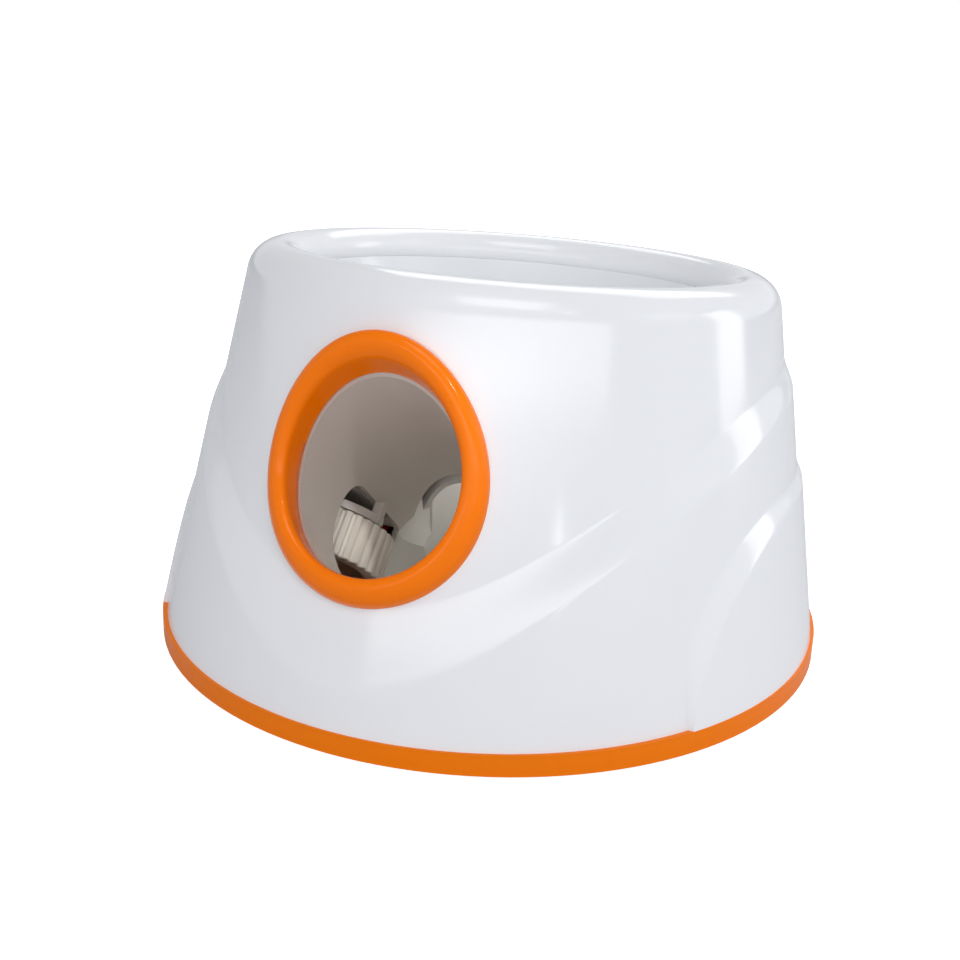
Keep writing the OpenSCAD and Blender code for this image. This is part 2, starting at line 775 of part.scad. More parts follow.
module gate_arm() {
    color("#e07a10") body_frame() translate([gate_pivot[0], gate_pivot[1], gate_s])
        rotate([0, 0, gate_rest_angle]) difference() {
            union() {
                cylinder(h = gate_t, r = gate_hub_r);
                translate([gate_hub_r - 2.5, -gate_w / 2, 0])
                    cube([gate_l - gate_w / 2 - gate_hub_r + 2.5, gate_w, gate_t]);
                translate([gate_l - gate_tip_r, 0, 0]) cylinder(h = gate_t, r = gate_tip_r);
            }
            translate([0, 0, -1]) cylinder(h = gate_t - 0.2, r = horn_r + run_gap);
            translate([0, 0, -1]) cylinder(h = gate_t + 2, r = 1.1);
            translate([0, 0, gate_t - 0.9]) cylinder(h = 2, r = 2.2);
        }
}

module gate_servo() {
    color("#2a5fa8") body_frame() translate([gate_pivot[0], gate_pivot[1], 0]) difference() {
        union() {
            translate([servo_shift - servo[0] / 2, -servo[1] / 2, servo_ear_s + 3 - servo[2]])
                cube(servo);
            translate([servo_shift - servo_ear[0] / 2, -servo_ear[1] / 2, servo_ear_s])
                cube(servo_ear);
            cylinder(h = gate_s - 0.5, r = 5.6);
            cylinder(h = gate_s + gate_t - 1.2, r = horn_r);
        }
        translate([0, 0, gate_s - 3]) cylinder(h = 10, r = 0.9);
        translate([-20, -20, -1]) cube([40, 40, servo_ear_s + 4 - servo[2]]);
    }
}

module gate_screw() {
    color("#a8abb0") body_frame() translate([gate_pivot[0], gate_pivot[1], gate_s + gate_t - 0.9]) {
        cylinder(h = 1, r = 2);
        translate([0, 0, -2.6]) cylinder(h = 3, r = 0.85);
    }
}

module ball_sensors() {
    color("#3b2a55") body_frame() for (side = [-1, 1])
        translate([side * (chute_r + 0.4), 0, sensor_s]) rotate([0, side * 90, 0]) {
            cylinder(h = 7, r = sensor_r);
            translate([0, 0, duct_wall]) cylinder(h = 1.4, r = sensor_r + 0.5);
        }
}

module control_board() {
    color("#1f6b3a") difference() {
        translate([-board[0] / 2, board_y - board[1] / 2, board_z]) cube(board);
        for (x = [-1, 1], y = [-1, 1])
            translate([x * board_hole[0], board_y + y * board_hole[1], board_z - 1])
                cylinder(h = 4, r = board_screw_r + 0.2);
    }
}

module board_chips() {
    color("#26282b") {
        translate([-9, board_y - 6, board_top]) cube([14, 10, 1.8]);
        translate([14, board_y + 4, board_top]) cube([8, 6, 1.6]);
        translate([-28, board_y + 3, board_top]) cube([10, 9, 2.2]);
        translate([22, board_y - 12, board_top]) cube([10, 9, 2.2]);
    }
}

module board_capacitors() {
    color("#2d3560") for (x = [-11, 30]) translate([x, board_y + 13, board_top])
        cylinder(h = 11, r = 4);
}

module wire_sockets() {
    color("#f0ead8") for (x = [-30, -14, 14, 30]) translate([x - 4.5, board_y - 20, board_top])
        cube([9, 5.5, 6]);
}

module buzzer() {
    color("#1b1c1e") translate([10, board_y + 14.5, board_top]) difference() {
        cylinder(h = 7, r = 6);
        translate([0, 0, 5]) cylinder(h = 3, r = 1);
    }
}

module power_button() {
    color("#f28a1c") body_frame() translate([0, 0, button_s]) {
        translate([0, button_back + button_flange_t, 0]) along_y()
            cylinder(h = rear_out_r + button_proud - button_back - button_flange_t, r = button_r);
        translate([0, button_back, 0]) along_y() cylinder(h = button_flange_t, r = button_flange_r);
    }
}

module switch_board() {
    color("#1f6b3a") body_frame() difference() {
        translate([-switch_board_w / 2, switch_board_y, button_s - 12])
            cube([switch_board_w, switch_board_t, switch_board_h]);
    }
}

module button_switch() {
    color("#303236") body_frame() translate([0, switch_board_y + switch_board_t, button_s]) {
        translate([-3, 0, -3]) cube([6, switch_h - 1, 6]);
        along_y() cylinder(h = switch_h, r = 1.7);
    }
}

module indicator_lens() {
    color("#dff3e4") body_frame() translate([0, switch_board_y + switch_board_t + 5, lens_s])
        along_y() cylinder(h = wall_r(lens_s) + skirt_step + rear_step - switch_board_y - switch_board_t - 4.8, r = lens_r);
}

module indicator_led() {
    color("#4fd36b") body_frame() translate([0, switch_board_y + switch_board_t, lens_s])
        along_y() {
            cylinder(h = 3.2, r = led_r);
            translate([0, 0, 3.2]) cylinder(h = 1.5, r1 = led_r, r2 = 0.6);
        }
}

module dc_jack() {
    color("#1d1e20") body_frame() translate([0, jack_face, jack_s]) difference() {
        union() {
            translate([0, -1, 0]) along_y() cylinder(h = jack_out_r - jack_face + 0.8, r = jack_r);
            translate([-jack_box[0] / 2, -jack_box[1], -jack_box[2] / 2]) cube(jack_box);
        }
        difference() {
            translate([0, jack_out_r - jack_face - jack_bore_depth, 0]) along_y()
                cylinder(h = jack_bore_depth + 1, r = jack_bore_r);
            translate([0, -10, 0]) along_y()
                cylinder(h = 8.5 + jack_out_r - jack_face, r = jack_pin_r);
        }
    }
}

module base_screws() {
    color("#85888d") for (a = post_angles) rotate([0, 0, a - 90])
        translate([post_ring_r, 0, foot_drop + head_room]) difference() {
            union() {
                translate([0, 0, -screw_head_h]) cylinder(h = screw_head_h, r = screw_head_r);
                translate([0, 0, -0.5]) cylinder(h = 12, r = pilot_r);
            }
            translate([0, 0, -screw_head_h - 1]) cylinder(h = 2.2, r = 1.4, $fn = 6);
        }
}

module bowl_screws() {
    color("#85888d") body_frame() for (a = bowl_screw_angles) rotate([0, 0, a])
        translate([bowl_boss_ring_r, 0, bowl_top_s - bowl_flange_t]) {
            translate([0, 0, -2]) cylinder(h = 2, r = screw_head_r);
            translate([0, 0, -0.5]) cylinder(h = bowl_flange_t + 7, r = pilot_r);
        }
}

module board_screws() {
    color("#85888d") for (x = [-1, 1], y = [-1, 1])
        translate([x * board_hole[0], board_y + y * board_hole[1], board_top]) {
            cylinder(h = 1.4, r = 2.3);
            translate([0, 0, -5.5]) cylinder(h = 6, r = board_screw_r);
        }
}

// A lead swept along a route of points, with flat ends; side is a direction that no
// part of the route follows.
function unit(v) = v / norm(v);
function heading(route, i) =
    unit(route[min(i + 1, len(route) - 1)] - route[max(i - 1, 0)]);
module lead(route, r, side) {
    n = len(route);
    points = [for (i = [0 : n - 1])
        let (t = heading(route, i), u = unit(cross(t, side)), v = cross(t, u))
        for (j = [0 : lead_sides - 1]) let (a = 360 * j / lead_sides)
            route[i] + r * (cos(a) * u + sin(a) * v)];
    faces = concat(
        [[for (j = [0 : lead_sides - 1]) j]],
        [for (i = [0 : n - 2]) for (j = [0 : lead_sides - 1])
            let (a = i * lead_sides + j, b = i * lead_sides + (j + 1) % lead_sides)
            [a, a + lead_sides, b + lead_sides, b]],
        [[for (j = [lead_sides - 1 : -1 : 0]) (n - 1) * lead_sides + j]]);
    polyhedron(points = points, faces = faces);
}

// Route of a motor lead on one side: off the motor's terminal, down behind the wheel
// and back to its socket on the board.
function motor_route(side, shift, socket_x) = [
    at_launch(side * (wheel_x + shift), motor_low + motor_l + 4, wheel_at),
    at_launch(side * (wheel_x + shift), motor_low + motor_l + 7, wheel_at - 1),
    at_launch(side * (wheel_x - 1 + shift), motor_low + motor_l + 8, wheel_at - 6),
    at_launch(side * (44 + shift / 4), motor_low + motor_l + 2, wheel_at - 16),
    at_launch(side * (41 + shift / 4), 31, 41),
    at_launch(side * (39 + shift / 4), 18, 39.5),
    at_launch(side * (37.5 + shift / 4), 10.5, 42),
    at_launch(side * (39.5 + shift / 4), 7, 35.5),
    [side * (41 + shift / 4), -14, 28],
    [side * (42 + shift / 4), 6, 33],
    [side * (42 + shift / 4), 24, 38],
    [side * (38 + shift / 4), 38, 41.5],
    [side * socket_x, 46, 43.7],
    [side * socket_x, board_y - 20.2, 43.7]];

module motor_leads_red() {
    color("#a01818") for (side = [-1, 1]) lead(motor_route(side, -7, 28.2), lead_r, [1, 0.15, 0.1]);
}

module motor_leads_black() {
    color("#1c1c1e") for (side = [-1, 1]) lead(motor_route(side, 7, 31.8), lead_r, [1, 0.15, 0.1]);
}

module sensor_leads() {
    color("#d8d8d8") for (side = [-1, 1])
        lead([at_body(side * (chute_r + 7.5), 0, sensor_s),
              at_body(side * (chute_r + 10), 0.5, sensor_s),
              at_body(side * (chute_r + 11), 5, sensor_s - 3),
              at_body(side * (chute_r + (side < 0 ? 23 : 9)), 18, sensor_s - 14),
              side < 0 ? at_body(-53, 30, 60) : at_body(chute_r + 4, 30, sensor_s - 26),
              side < 0 ? [-48, 42, 47] : [24, 42, 48],
              [side * 14, 46.5, 43.7],
              [side * 14, board_y - 20.2, 43.7]], 0.9, [0.31, 0.12, 0.94]);
}

outer_shell();
hopper_bowl();
outlet_ring();
launch_tube();
breech_block();
feed_chute();
base_pan();
rubber_feet();
battery_tray();
battery_cover();
battery_cells();
contact_plates();
contact_springs();
left_wheel();
right_wheel();
left_wheel_cap();
right_wheel_cap();
left_shaft();
right_shaft();
left_motor();
right_motor();
motor_screws();
gate_arm();
gate_servo();
gate_screw();
ball_sensors();
control_board();
board_chips();
board_capacitors();
wire_sockets();
buzzer();
power_button();
switch_board();
button_switch();
indicator_lens();
indicator_led();
dc_jack();
base_screws();
bowl_screws();
board_screws();
motor_leads_red();
motor_leads_black();
sensor_leads();
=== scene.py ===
import json
import math

import bmesh
import bpy
import numpy as np
from mathutils import Matrix, Vector


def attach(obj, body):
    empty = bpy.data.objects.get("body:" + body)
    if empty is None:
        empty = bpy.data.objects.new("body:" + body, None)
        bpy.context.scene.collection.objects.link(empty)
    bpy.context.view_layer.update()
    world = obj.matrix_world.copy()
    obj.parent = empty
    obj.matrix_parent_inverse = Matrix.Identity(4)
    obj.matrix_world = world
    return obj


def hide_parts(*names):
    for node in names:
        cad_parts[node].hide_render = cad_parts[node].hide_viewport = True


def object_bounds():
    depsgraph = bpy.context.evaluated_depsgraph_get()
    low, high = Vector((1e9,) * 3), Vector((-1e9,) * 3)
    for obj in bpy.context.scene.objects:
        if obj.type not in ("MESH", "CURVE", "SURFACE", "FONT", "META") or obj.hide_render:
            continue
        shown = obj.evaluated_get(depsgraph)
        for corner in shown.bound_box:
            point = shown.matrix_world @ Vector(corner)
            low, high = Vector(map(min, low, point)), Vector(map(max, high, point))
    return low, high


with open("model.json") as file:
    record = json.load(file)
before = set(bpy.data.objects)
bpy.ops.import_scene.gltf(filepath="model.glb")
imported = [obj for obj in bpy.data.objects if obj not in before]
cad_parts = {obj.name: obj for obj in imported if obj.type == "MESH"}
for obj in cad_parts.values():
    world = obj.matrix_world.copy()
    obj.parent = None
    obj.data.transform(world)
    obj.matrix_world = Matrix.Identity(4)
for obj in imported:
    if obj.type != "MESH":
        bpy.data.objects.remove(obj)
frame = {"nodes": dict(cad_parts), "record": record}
cad_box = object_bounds()

MM = 0.001

# ---------------------------------------------------------------- sizes, in mm
FOOT = 1.5
BAND_H = 8.0
LEAN = math.radians(5.46)
FLARE = math.radians(10.1)
CROWN_R, CROWN_S = 89.7, 145.2
RIM_ROUND, LIP_ROUND = 12.4, 8.0
WALL = 2.2
BOWL_TOP = CROWN_S - 11.2
OUTLET_HOLE_R = 37.2
BUTTON_S, BUTTON_HOLE_R = 52.0, 7.3
JACK_S, JACK_HOLE_R = 31.0, 4.55
SKIRT, REAR = 2.6, 1.8
TILT = math.radians(41.6)
LAUNCH_Z = FOOT - 0.25
RING_R, RING_BORE, RING_PROUD = 40.8, 32.4, 5.0
LINER = 7.5
COLLAR_R, COLLAR_DEPTH = 36.0, LINER + 9.5
TUBE_R, TUBE_WALL = 31.5, 2.1
TUBE_OUT = TUBE_R + TUBE_WALL
TUBE_START, TUBE_END = 43.0, 176.0
CHUTE_R, DUCT_WALL, DUCT_FLANGE = 28.5, 2.2, 34.3
FIT_GAP = 0.3
WHEEL_R, WHEEL_GAP, WHEEL_H, WHEEL_AT = 24.0, 45.0, 18.0, 61.5
WHEEL_X = WHEEL_GAP / 2 + WHEEL_R
WHEEL_LOW = -13.8
WHEEL_HIGH = WHEEL_LOW + WHEEL_H
WING_LOW, WING_T, WING_R = 13.0, 2.2, 18.0
SHAFT_R = 1.5
WELL_R = WHEEL_R + 2.2
SLOT_FROM = WHEEL_AT - math.sqrt(WELL_R ** 2 - (WHEEL_X - TUBE_R) ** 2)
SLOT_TO, SLOT_LOW, SLOT_ROUND = 90.5, -26.0, 8.0
GUARD_LOW, GUARD_T = WHEEL_HIGH + 0.8, 3.0
GUARD_R, GUARD_BORE = WHEEL_R - 2.2, 12.0
GUARD_FROM = WHEEL_AT + 4.5
SLOPE = math.tan(FLARE)
RIM_C = CROWN_S - RIM_ROUND
WALL_TOP = RIM_C + RIM_ROUND * math.sin(FLARE)
BAND_TOP = FOOT + BAND_H


def wall_r(s):
    """Radius of the plain wall at height s along the leaning axis."""
    return CROWN_R + RIM_ROUND * math.cos(FLARE) + SLOPE * (WALL_TOP - s)


def body_to_row(p):
    """Points of the leaning body's frame in the row frame, in mm."""
    x, y, s = p[..., 0], p[..., 1], p[..., 2]
    return np.stack([x, y * math.cos(LEAN) + s * math.sin(LEAN),
                     FOOT - y * math.sin(LEAN) + s * math.cos(LEAN)], -1)


def launch_to_row(p):
    """Points of the launch frame (across, up, along) in the row frame, in mm."""
    x, u, a = p[..., 0], p[..., 1], p[..., 2]
    return np.stack([x, u * math.sin(TILT) - a * math.cos(TILT),
                     LAUNCH_Z + u * math.cos(TILT) + a * math.sin(TILT)], -1)


def row_to_launch(p):
    """Row frame points, in mm, in the launch frame."""
    x, y, z = p[..., 0], p[..., 1], p[..., 2] - LAUNCH_Z
    return np.stack([x, y * math.sin(TILT) + z * math.cos(TILT),
                     -y * math.cos(TILT) + z * math.sin(TILT)], -1)


def smooth_step(t):
    """Eases a value from 0 to 1."""
    t = np.clip(t, 0, 1)
    return t * t * (3 - 2 * t)


def edge_depth(y, z, edge):
    """How far inside a skirt edge a point lies, seen from the side, in mm."""
    cy, cz, r = edge
    z = z - FOOT
    arc = r - np.hypot(y - cy, z - cz)
    level = cz + r - z
    return np.where(y < cy, arc, level)


def ramp(y, z, high, low):
    """0 above a ledge, 1 below it, and a slope with eased ends between."""
    a = edge_depth(y, z, high)
    b = edge_depth(y, z, low)
    t = np.clip(a / np.maximum(a - b, 1e-6), 0, 1)
    return 0.35 * smooth_step(t) + 0.65 * t


MAIN_HIGH, MAIN_LOW = (27.2, -78.9, 191.1), (33.6, -93.6, 196.1)
REAR_HIGH, REAR_LOW = (-4.1, 4.6, 68.3), (9.3, -17.1, 84.7)


def wall_reach(rho, phi, e):
    """Distance along the launch direction at which a line at radius rho and angle phi
    round the launch axis meets the wall moved out by e."""
    x = rho * np.cos(phi)
    k = TILT - LEAN
    y0 = rho * np.sin(phi) * math.sin(k)
    z0 = rho * np.sin(phi) * math.cos(k) + LAUNCH_Z - FOOT
    w = wall_r(0) + e - SLOPE * z0
    a = math.cos(k) ** 2 - (SLOPE * math.sin(k)) ** 2
    b = -2 * y0 * math.cos(k) + 2 * SLOPE * math.sin(k) * w
    c = x * x + y0 * y0 - w * w
    return (-b + np.sqrt(b * b - 4 * a * c)) / (2 * a)


# ---------------------------------------------------------------- mesh helpers
def add_mesh(name, points, faces, sharp=None):
    """A mesh object from points in mm. Shading is smooth; edges past the angle stay sharp."""
    mesh = bpy.data.meshes.new(name)
    mesh.from_pydata((np.asarray(points) * MM).tolist(), [], [list(map(int, f)) for f in faces])
    mesh.validate()
    mesh.update()
    obj = bpy.data.objects.new(name, mesh)
    bpy.context.scene.collection.objects.link(obj)
    bm = bmesh.new()
    bm.from_mesh(mesh)
    bmesh.ops.recalc_face_normals(bm, faces=bm.faces)
    for f in bm.faces:
        f.smooth = True
    if sharp is not None:
        for e in bm.edges:
            if len(e.link_faces) == 2:
                e.smooth = e.calc_face_angle(0) < math.radians(sharp)
    bm.to_mesh(mesh)
    bm.free()
    return obj


def grid_faces(rows, cols, wrap_rows=False, wrap_cols=True, keep=None):
    """Quads of a grid of points stored row by row."""
    i, j = np.meshgrid(np.arange(rows if wrap_rows else rows - 1),
                       np.arange(cols if wrap_cols else cols - 1), indexing="ij")
    a = i * cols + j
    b = i * cols + (j + 1) % cols
    c = ((i + 1) % rows) * cols + (j + 1) % cols
    d = ((i + 1) % rows) * cols + j
    quads = np.stack([a, b, c, d], -1).reshape(-1, 4)
    return quads if keep is None else quads[keep.reshape(-1)]


def lathe(name, profile, steps, place, sharp=None, closed=True):
    """A profile of (radius, height) turned round Z and put in place by a function."""
    profile = np.asarray(profile, float)
    a = np.linspace(0, 2 * math.pi, steps, endpoint=False)
    p = np.empty((len(profile), steps, 3))
    p[..., 0] = profile[:, :1] * np.cos(a)
    p[..., 1] = profile[:, :1] * np.sin(a)
    p[..., 2] = profile[:, 1:]
    return add_mesh(name, place(p).reshape(-1, 3),
                    grid_faces(len(profile), steps, wrap_rows=closed), sharp)


def arc(r, s, radius, start, end, steps):
    """Points of an arc in a profile, angles in degrees."""
    a = np.radians(np.linspace(start, end, steps + 1))
    return np.stack([r + radius * np.cos(a), s + radius * np.sin(a)], -1).tolist()


def rounded(points, radii, steps=5):
    """A closed profile with its corners rounded, each by its own radius."""
    out = []
    n = len(points)
    for i, (p, r) in enumerate(zip(points, radii)):
        p = np.asarray(p, float)
        if r <= 0:
            out.append(p.tolist())
            continue
        q0 = np.asarray(points[i - 1], float) - p
        q1 = np.asarray(points[(i + 1) % n], float) - p
        d0, d1 = q0 / np.linalg.norm(q0), q1 / np.linalg.norm(q1)
        half = math.acos(np.clip(np.dot(d0, d1), -1, 1)) / 2
        cut = min(r / math.tan(half), 0.48 * np.linalg.norm(q0), 0.48 * np.linalg.norm(q1))
        a, b = p + d0 * cut, p + d1 * cut
        for t in np.linspace(0, 1, steps + 1):
            out.append(((1 - t) ** 2 * a + 2 * t * (1 - t) * p + t * t * b).tolist())
    return out


# ---------------------------------------------------------------- shell
def build_shell():
    """The white shell: plain wall, two stepped skirts, rolled rim, and the holes for the
    outlet, the button and the power inlet."""
    cols, rows = 720, 190
    th = np.linspace(0, 2 * math.pi, cols, endpoint=False)
    ct, st = np.cos(th), np.sin(th)

    def offset(r, s):
        """How far the skirts stand out there. The main one stops at the ring."""
        p = body_to_row(np.stack([r * ct, r * st, s + 0 * ct], -1))
        q = row_to_launch(p)
        clear = np.where(q[..., 2] > 0, np.hypot(q[..., 0], q[..., 1]) > RING_R + 0.3, 1)
        return (SKIRT * ramp(p[..., 1], p[..., 2], MAIN_HIGH, MAIN_LOW) * clear
                + REAR * ramp(p[..., 1], p[..., 2], REAR_HIGH, REAR_LOW))

    s_low = np.full(cols, 8.0)
    for _ in range(12):
        r = wall_r(s_low)
        r = r + offset(r, s_low)
        s_low = (BAND_TOP - FOOT + r * st * math.sin(LEAN)) / math.cos(LEAN)
    v = np.linspace(0, 1, rows)[:, None]
    s = s_low * (1 - v) + WALL_TOP * v
    plain = wall_r(s)
    e = offset(plain, s)
    e = offset(plain + e, s)
    outer = body_to_row(np.stack([(plain + e) * ct, (plain + e) * st, s], -1))
    thin = np.maximum(plain - WALL / math.cos(FLARE), 0)
    inner = body_to_row(np.stack([thin * ct, thin * st, s], -1))

    def open_cells(near):
        """Cells with four near corners, and the points round them that stay in use."""
        gone = (near[:-1] & near[1:] & np.roll(near, -1, 1)[:-1] & np.roll(near, -1, 1)[1:])
        touched = np.zeros((rows, cols), bool)
        kept = np.zeros((rows, cols), bool)
        for di in (0, 1):
            for dj in (0, 1):
                touched[di:rows - 1 + di] |= np.roll(gone, dj, 1)
                kept[di:rows - 1 + di] |= np.roll(~gone, dj, 1)
        return gone, touched & kept

    # The outlet's hole, round the launch direction.
    lo = row_to_launch(outer)
    rho = np.hypot(lo[..., 0], lo[..., 1])
    gone, rim = open_cells((rho < OUTLET_HOLE_R + 0.55) & (lo[..., 2] > 0))
    phi = np.arctan2(lo[..., 1], lo[..., 0])[rim]
    snap = np.stack([OUTLET_HOLE_R * np.cos(phi), OUTLET_HOLE_R * np.sin(phi),
                     wall_reach(OUTLET_HOLE_R, phi, e[rim])], -1)
    outer[rim] = launch_to_row(snap)
    snap[:, 2] = wall_reach(OUTLET_HOLE_R, phi, -WALL)
    inner[rim] = launch_to_row(snap)

    # The holes for the button and the power inlet, along the body frame's Y.
    for hole_s, radius in ((BUTTON_S, BUTTON_HOLE_R), (JACK_S, JACK_HOLE_R)):
        x, up = outer[..., 0], s - hole_s
        hole, rim = open_cells((np.hypot(x, up) < radius + 0.35) & (st > 0))
        phi = np.arctan2(up, x)[rim]
        x, up = radius * np.cos(phi), hole_s + radius * np.sin(phi)
        for side, extra in ((outer, e[rim]), (inner, -WALL / math.cos(FLARE))):
            side[rim] = body_to_row(
                np.stack([x, np.sqrt((wall_r(up) + extra) ** 2 - x ** 2), up], -1))
        gone |= hole

    top = (arc(CROWN_R, RIM_C, RIM_ROUND, math.degrees(FLARE), 90, 20)[1:]
           + arc(CROWN_R, CROWN_S - LIP_ROUND, LIP_ROUND, 90, 180, 14)[1:]
           + [[CROWN_R - LIP_ROUND, BOWL_TOP + 0.2], [CROWN_R - LIP_ROUND + 0.2, BOWL_TOP],
              [CROWN_R - LIP_ROUND + WALL, BOWL_TOP]]
           + arc(CROWN_R, CROWN_S - LIP_ROUND, LIP_ROUND - WALL, 180, 90, 10)
           + arc(CROWN_R, RIM_C, RIM_ROUND - WALL, 90, math.degrees(FLARE), 12)[1:])
    top = np.array(top)
    cap = np.empty((len(top), cols, 3))
    cap[..., 0] = top[:, :1] * ct
    cap[..., 1] = top[:, :1] * st
    cap[..., 2] = top[:, 1:]
    cap = body_to_row(cap)
    cap[..., 2] = np.minimum(cap[..., 2], cad_box[1][2] / MM - 0.002)
    grid = np.concatenate([outer, cap, inner[::-1]], 0)
    total = len(grid)
    keep = np.ones((total, cols), bool)
    keep[:rows - 1] = ~gone
    keep[total - rows:total - 1] = ~gone[::-1]
    faces = grid_faces(total, cols, wrap_rows=True, keep=keep).tolist()

    def inner_row(i):
        """Row of the grid that lies behind an outer row."""
        return total - 1 - i

    for i, j in zip(*np.nonzero(gone)):
        sides = (((i - 1, j), (i, j), (i, j + 1)), ((i + 1, j), (i + 1, j), (i + 1, j + 1)),
                 ((i, (j - 1) % cols), (i, j), (i + 1, j)),
                 ((i, (j + 1) % cols), (i, j + 1), (i + 1, j + 1)))
        for (ni, nj), a, b in sides:
            if not gone[ni, nj]:
                a, b = (a[0], a[1] % cols), (b[0], b[1] % cols)
                faces.append([a[0] * cols + a[1], b[0] * cols + b[1],
                              inner_row(b[0]) * cols + b[1], inner_row(a[0]) * cols + a[1]])
    return add_mesh("shell", grid.reshape(-1, 3), faces, sharp=50)


# ---------------------------------------------------------------- bowl
def build_bowl():
    """The hopper bowl: flange under the rim, steep wall, funnel floor and spout."""
    drain_s, floor_r, flange = 94.0, 72.0, 13.0
    floor_s = drain_s + (floor_r - CHUTE_R) * math.tan(math.radians(24))
    lip_r, under = CROWN_R - LIP_ROUND, BOWL_TOP - DUCT_WALL
    points = [[CHUTE_R, drain_s - 6], [CHUTE_R, drain_s], [floor_r, floor_s],
              [floor_r + 4, floor_s + 4], [lip_r, BOWL_TOP], [lip_r + flange, BOWL_TOP],
              [lip_r + flange, under], [lip_r + DUCT_WALL, under],
              [floor_r + 4 + DUCT_WALL, floor_s + 3], [floor_r + 1, floor_s - DUCT_WALL],
              [CHUTE_R + DUCT_WALL, drain_s - DUCT_WALL], [CHUTE_R + DUCT_WALL, drain_s - 6]]
    radii = [0, 3.5, 9, 7, 0.5, 0.4, 0.4, 0.4, 6, 6, 3, 0]
    return lathe("bowl", rounded(points, radii, 8), 240, body_to_row, sharp=50)


# ---------------------------------------------------------------- outlet ring
def build_ring():
    """The outlet ring: a round lip that follows the wall, a liner and a collar. Faces near its
    bore take the second material, a darker orange that is painted shade."""
    mid, half = (RING_R + RING_BORE) / 2, (RING_R - RING_BORE) / 2
    a = np.radians(np.linspace(0, 180, 25))
    sec = [[RING_R, -0.4], [RING_R, 0.5]]
    sec += np.stack([mid + half * np.cos(a), 1 + (RING_PROUD - 1) * np.sin(a)], -1).tolist()
    sec += [[RING_BORE, -1.5], [RING_BORE, -4], [RING_BORE, -LINER + 0.4],
            [RING_BORE + 0.4, -LINER], [TUBE_OUT + FIT_GAP, -LINER],
            [TUBE_OUT + FIT_GAP, -COLLAR_DEPTH], [COLLAR_R, -COLLAR_DEPTH], [COLLAR_R, -0.4]]
    sec = np.array(sec)
    steps = 288
    phi = np.linspace(0, 2 * math.pi, steps, endpoint=False)
    rho, hgt = sec[:, :1] + 0 * phi, sec[:, 1:] + 0 * phi
    p = np.stack([rho * np.cos(phi), rho * np.sin(phi), wall_reach(rho, phi, hgt)], -1)
    ring = add_mesh("ring", launch_to_row(p).reshape(-1, 3),
                    grid_faces(len(sec), steps, wrap_rows=True), sharp=40)
    # Faces round the bore get the darker second material: painted shade.
    centres = row_to_launch(np.array([f.center for f in ring.data.polygons]) / MM)
    for f, rho in zip(ring.data.polygons, np.hypot(centres[:, 0], centres[:, 1])):
        f.material_index = int(rho < RING_BORE + 1.2)
    return ring


# ---------------------------------------------------------------- cutters
def cut(obj, cutter):
    """Cuts obj with cutter, then drops the cutter."""
    mod = obj.modifiers.new("cut", "BOOLEAN")
    mod.operation = "DIFFERENCE"
    mod.solver = "EXACT"
    mod.object = cutter
    deps = bpy.context.evaluated_depsgraph_get()
    done = bpy.data.meshes.new_from_object(obj.evaluated_get(deps))
    obj.modifiers.remove(mod)
    obj.data = done
    bpy.data.objects.remove(cutter)


def block(name, corners_low, corners_high, place):
    """A box given in a local frame."""
    lo, hi = np.array(corners_low, float), np.array(corners_high, float)
    p = np.array([[(lo, hi)[i][0], (lo, hi)[j][1], (lo, hi)[k][2]]
                  for i in (0, 1) for j in (0, 1) for k in (0, 1)])
    f = [[0, 1, 3, 2], [4, 6, 7, 5], [0, 4, 5, 1], [2, 3, 7, 6], [0, 2, 6, 4], [1, 5, 7, 3]]
    return add_mesh(name, place(p), f, sharp=30)


def mark_sharp(obj, angle):
    """Smooth shading with edges past an angle left sharp."""
    bm = bmesh.new()
    bm.from_mesh(obj.data)
    for f in bm.faces:
        f.smooth = True
    for e in bm.edges:
        if len(e.link_faces) == 2:
            e.smooth = e.calc_face_angle(0) < math.radians(angle)
    bm.to_mesh(obj.data)
    bm.free()


# ---------------------------------------------------------------- launch tube
def wheel_at(side, up):
    """Puts points whose Z runs along a launch wheel's shaft in place."""
    x = side * WHEEL_X

    def put(p):
        return launch_to_row(np.stack([x + p[..., 0], up + p[..., 2], WHEEL_AT + p[..., 1]], -1))
    return put


def prism(name, outline, low, high, put):
    """A solid with an outline in two directions and straight sides between two levels."""
    outline = np.asarray(outline, float)
    n = len(outline)
    p = np.concatenate([np.column_stack([outline, np.full(n, low)]),
                        np.column_stack([outline, np.full(n, high)])])
    f = [[i, (i + 1) % n, n + (i + 1) % n, n + i] for i in range(n)]
    f += [list(range(n))[::-1], list(range(n, 2 * n))]
    return add_mesh(name, put(p), f, sharp=30)


